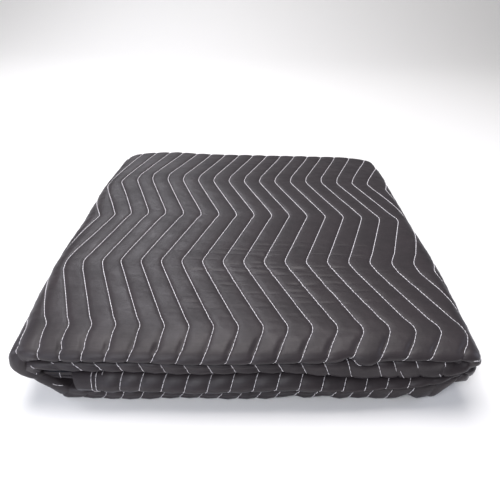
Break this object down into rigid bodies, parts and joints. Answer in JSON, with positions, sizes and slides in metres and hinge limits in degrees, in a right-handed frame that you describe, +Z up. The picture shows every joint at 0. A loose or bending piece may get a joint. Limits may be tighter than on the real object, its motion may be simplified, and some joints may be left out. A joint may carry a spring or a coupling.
{
  "type": "folded quilted blanket",
  "caption": "Quilted sound dampening and moving blanket with zigzag seams, folded to a flat, nearly square stack with rolled front edges and a wrapped side.",
  "frame": {"origin": "middle of the stack's footprint, on the surface that it lies on", "axes": "+X to the right along the rolled front, +Y from the front to the back, +Z up through the plies"},
  "size_m": [0.4796, 0.5112, 0.0726],
  "materials": {
    "quilted_cloth": "brushed black polyester cloth, quilted with white thread"
  },
  "bodies": {
    "root": {"blanket": "quilted_cloth"}
  },
  "joints": []
}
